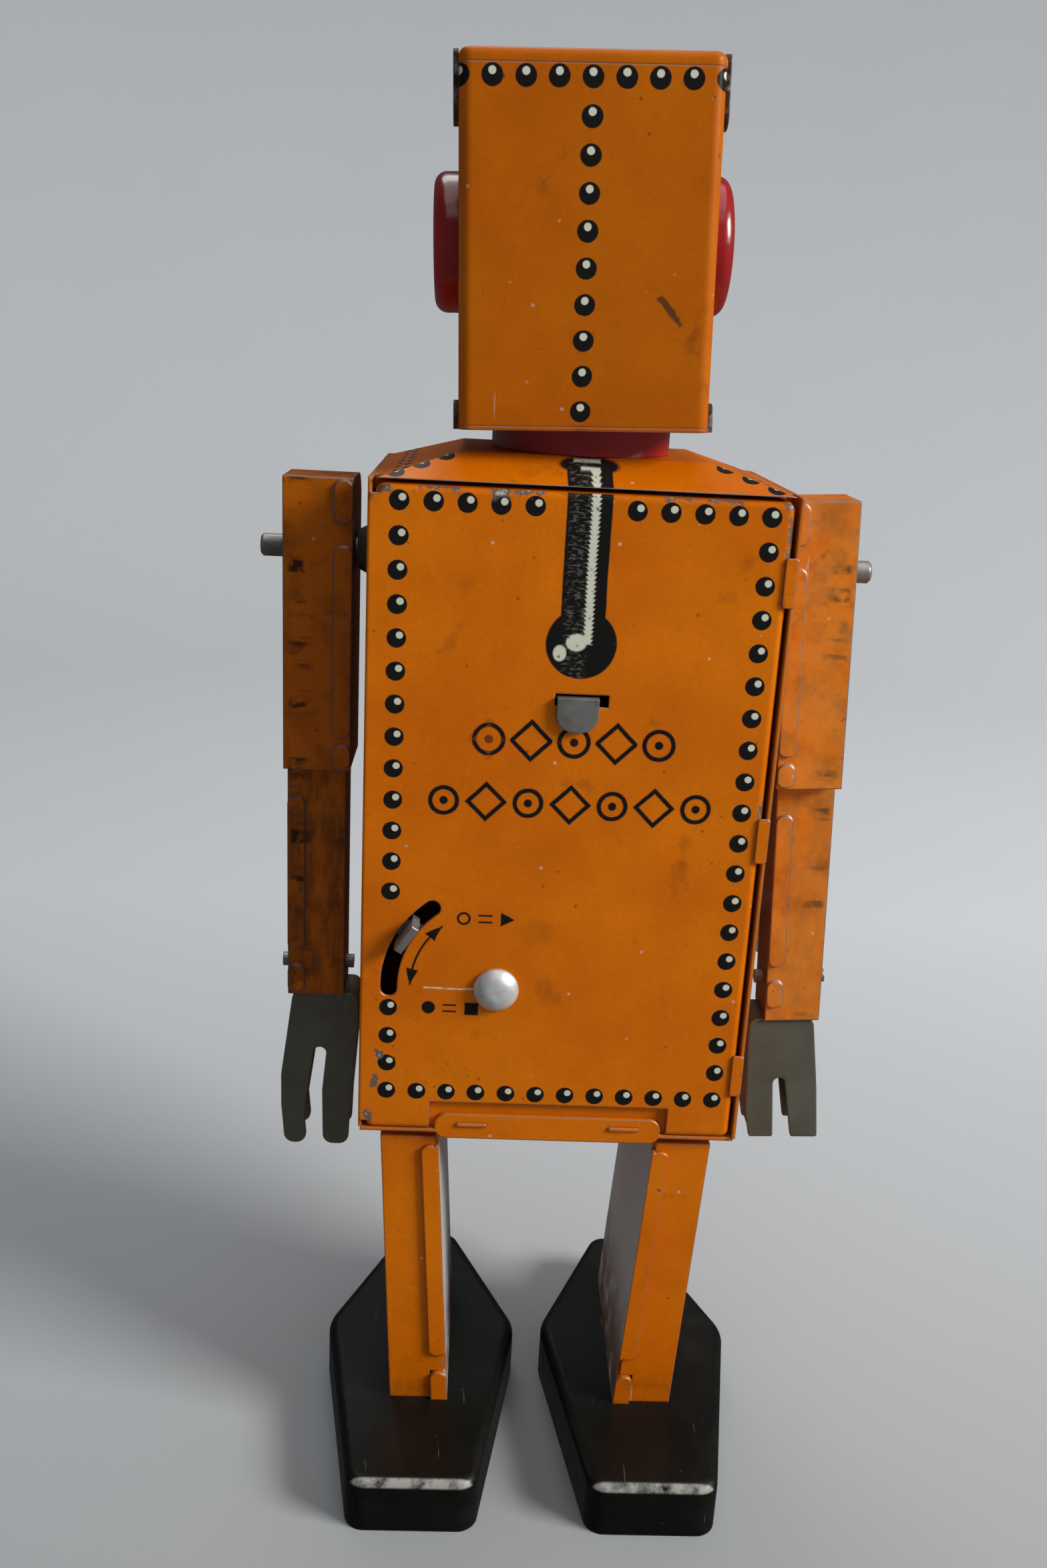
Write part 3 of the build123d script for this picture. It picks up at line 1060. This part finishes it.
with BuildPart() as crank_wheel:
    with BuildSketch(across_shaft(FAST_WHEEL_X, CRANK_Y, CRANK_Z)):
        with BuildLine():
            Polyline(*gear_outline(CRANK_WHEEL_TEETH, FAST_MODULE, 180 / CRANK_WHEEL_TEETH), close=True)
        make_face()
        Circle(CRANK_RADIUS, mode=Mode.SUBTRACT)
    extrude(amount=FAST_WHEEL_THICK)
crank_wheel.part.label = "crank_wheel"
export_step(crank_wheel.part, "parts/crank_wheel.step")

for side, sign in SIDES.items():
    with BuildPart() as crank_disc:
        # disc outside the motor plate; the two crank pins stand opposite each other
        with BuildSketch(facing_left(sign * DISC_X)):
            with Locations((CRANK_Y, CRANK_Z)):
                Circle(DISC_RADIUS)
                Circle(CRANK_RADIUS, mode=Mode.SUBTRACT)
        extrude(amount=sign * DISC_THICK)
        with BuildSketch(facing_left(sign * (DISC_X + DISC_THICK))):
            with Locations((CRANK_Y, CRANK_Z + sign * CRANK_THROW)):
                Circle(CRANK_PIN_RADIUS)
        extrude(amount=sign * CRANK_PIN_LENGTH)
    crank_disc.part.label = f"crank_disc_{side}"
    export_step(crank_disc.part, f"parts/crank_disc_{side}.step")

# ---------------------------------------------------------------- governor
with BuildPart() as governor_arbor:
    with BuildSketch(facing_left(-PLATE_X - PLATE_THICK)):
        with Locations((CRANK_Y, GOVERNOR_Z)):
            Circle(GOVERNOR_RADIUS)
    extrude(amount=2 * (PLATE_X + PLATE_THICK))
governor_arbor.part.label = "governor_arbor"
export_step(governor_arbor.part, "parts/governor_arbor.step")

with BuildPart() as governor_pinion:
    with BuildSketch(across_shaft(FAST_PINION_X, CRANK_Y, GOVERNOR_Z)):
        with BuildLine():
            Polyline(
                *gear_outline(GOVERNOR_PINION_TEETH, FAST_MODULE, 180 / GOVERNOR_PINION_TEETH), close=True
            )
        make_face()
        Circle(GOVERNOR_RADIUS, mode=Mode.SUBTRACT)
    extrude(amount=PINION_THICK)
governor_pinion.part.label = "governor_pinion"
export_step(governor_pinion.part, "parts/governor_pinion.step")

with BuildPart() as star_wheel:
    with BuildSketch(across_shaft(0, CRANK_Y, GOVERNOR_Z)):
        star = []
        for i in range(2 * STAR_POINTS):
            radius = STAR_TIP if i % 2 == 0 else STAR_ROOT
            angle = pi * i / STAR_POINTS
            star.append((radius * cos(angle), radius * sin(angle)))
        with BuildLine():
            Polyline(*star, close=True)
        make_face()
        Circle(GOVERNOR_RADIUS, mode=Mode.SUBTRACT)
    extrude(amount=STAR_THICK)
star_wheel.part.label = "star_wheel"
export_step(star_wheel.part, "parts/star_wheel.step")

with BuildPart() as verge:
    # arbor with a yoke whose two pallets straddle the star wheel
    with BuildSketch(facing_left(-PLATE_X - PLATE_THICK)):
        with Locations((CRANK_Y, VERGE_Z)):
            Circle(GOVERNOR_RADIUS)
    extrude(amount=2 * (PLATE_X + PLATE_THICK))
    with BuildSketch(facing_left(0)):
        for direction in (-1, 1):
            with BuildLine():
                Polyline(
                    (CRANK_Y, VERGE_Z + YOKE_HALF_WIDTH),
                    (CRANK_Y + direction * YOKE_REACH, VERGE_Z - YOKE_DROP + YOKE_HALF_WIDTH),
                    (CRANK_Y + direction * YOKE_REACH, VERGE_Z - YOKE_DROP),
                    (CRANK_Y, VERGE_Z - YOKE_HALF_WIDTH),
                    close=True,
                )
            make_face()
    extrude(amount=STAR_THICK)
verge.part.label = "verge"
export_step(verge.part, "parts/verge.step")

# ---------------------------------------------------------------- stop lever
lever_back_y = BODY_BACK_Y - SHEET - LEVER_GAP
tab_angle = radians(LEVER_ANGLE)
tab_x = LEVER_X + LEVER_RADIUS * cos(tab_angle)
tab_z = LEVER_Z + LEVER_RADIUS * sin(tab_angle)
finger_angle = radians(FINGER_ANGLE)
finger_x = LEVER_X + FINGER_RADIUS * cos(finger_angle)
finger_z = LEVER_Z + FINGER_RADIUS * sin(finger_angle)

with BuildPart() as stop_lever:
    # flat lever inside the back panel
    with BuildSketch(facing_back(lever_back_y)):
        with Locations((tab_x, tab_z)):
            Circle(LEVER_TIP_RADIUS)
        with Locations((LEVER_X, LEVER_Z)):
            Circle(LEVER_HUB_RADIUS)
        make_hull()
    extrude(amount=LEVER_THICK)
    with BuildSketch(facing_back(lever_back_y)):
        with Locations((finger_x, finger_z)):
            Circle(LEVER_TIP_RADIUS)
        with Locations((LEVER_X, LEVER_Z)):
            Circle(LEVER_HUB_RADIUS)
        make_hull()
    extrude(amount=LEVER_THICK)
    # tab bent out through the arc slot
    tab_plane = Plane(
        origin=(tab_x, lever_back_y - LEVER_THICK, tab_z),
        x_dir=(cos(tab_angle), 0, sin(tab_angle)),
        z_dir=(0, 1, 0),
    )
    with BuildSketch(tab_plane):
        Rectangle(TAB_THICK, TAB_WIDTH)
    extrude(amount=BODY_BACK_Y + TAB_STICK_OUT - lever_back_y + LEVER_THICK)
    fillet(stop_lever.faces().sort_by(Axis.Y)[-1].edges(), TAB_EDGE)
    # finger bent inwards towards the star wheel
    with BuildSketch(facing_back(lever_back_y)):
        with Locations((finger_x, finger_z)):
            Rectangle(FINGER_SIZE, FINGER_SIZE)
    extrude(amount=lever_back_y - FINGER_END_Y)
    with BuildSketch(facing_back(BODY_BACK_Y)):
        with Locations((LEVER_X, LEVER_Z)):
            Circle(RIVET_SHANK_RADIUS + CLEAR)
    extrude(amount=PANEL_RIM, mode=Mode.SUBTRACT)
stop_lever.part.label = "stop_lever"
export_step(stop_lever.part, "parts/stop_lever.step")

with BuildPart() as lever_rivet:
    # dome outside, shank through panel and lever, clinched head inside
    with BuildSketch(facing_back(BODY_BACK_Y + SHEET)):
        with Locations((LEVER_X, LEVER_Z)):
            Circle(RIVET_DOME_RADIUS)
    extrude(amount=SHEET)
    rivet_plane = Plane(
        origin=(LEVER_X, BODY_BACK_Y + SHEET, LEVER_Z), x_dir=(1, 0, 0), z_dir=(0, 0, 1)
    )
    with BuildSketch(rivet_plane):
        with BuildLine():
            Line((0, 0), (RIVET_DOME_RADIUS, 0))
            ThreePointArc(
                (RIVET_DOME_RADIUS, 0),
                (RIVET_DOME_RADIUS * RIVET_SHOULDER[0], RIVET_DOME_HEIGHT * RIVET_SHOULDER[1]),
                (0, RIVET_DOME_HEIGHT),
            )
            Line((0, RIVET_DOME_HEIGHT), (0, 0))
        make_face()
    revolve(axis=Axis((LEVER_X, BODY_BACK_Y, LEVER_Z), (0, 1, 0)))
    inner_head_y = lever_back_y - LEVER_THICK - LEVER_GAP
    with BuildSketch(facing_back(BODY_BACK_Y)):
        with Locations((LEVER_X, LEVER_Z)):
            Circle(RIVET_SHANK_RADIUS)
    extrude(amount=BODY_BACK_Y - inner_head_y)
    with BuildSketch(facing_back(inner_head_y)):
        with Locations((LEVER_X, LEVER_Z)):
            Circle(RIVET_HEAD_RADIUS)
    extrude(amount=SHEET)
lever_rivet.part.label = "lever_rivet"
export_step(lever_rivet.part, "parts/lever_rivet.step")
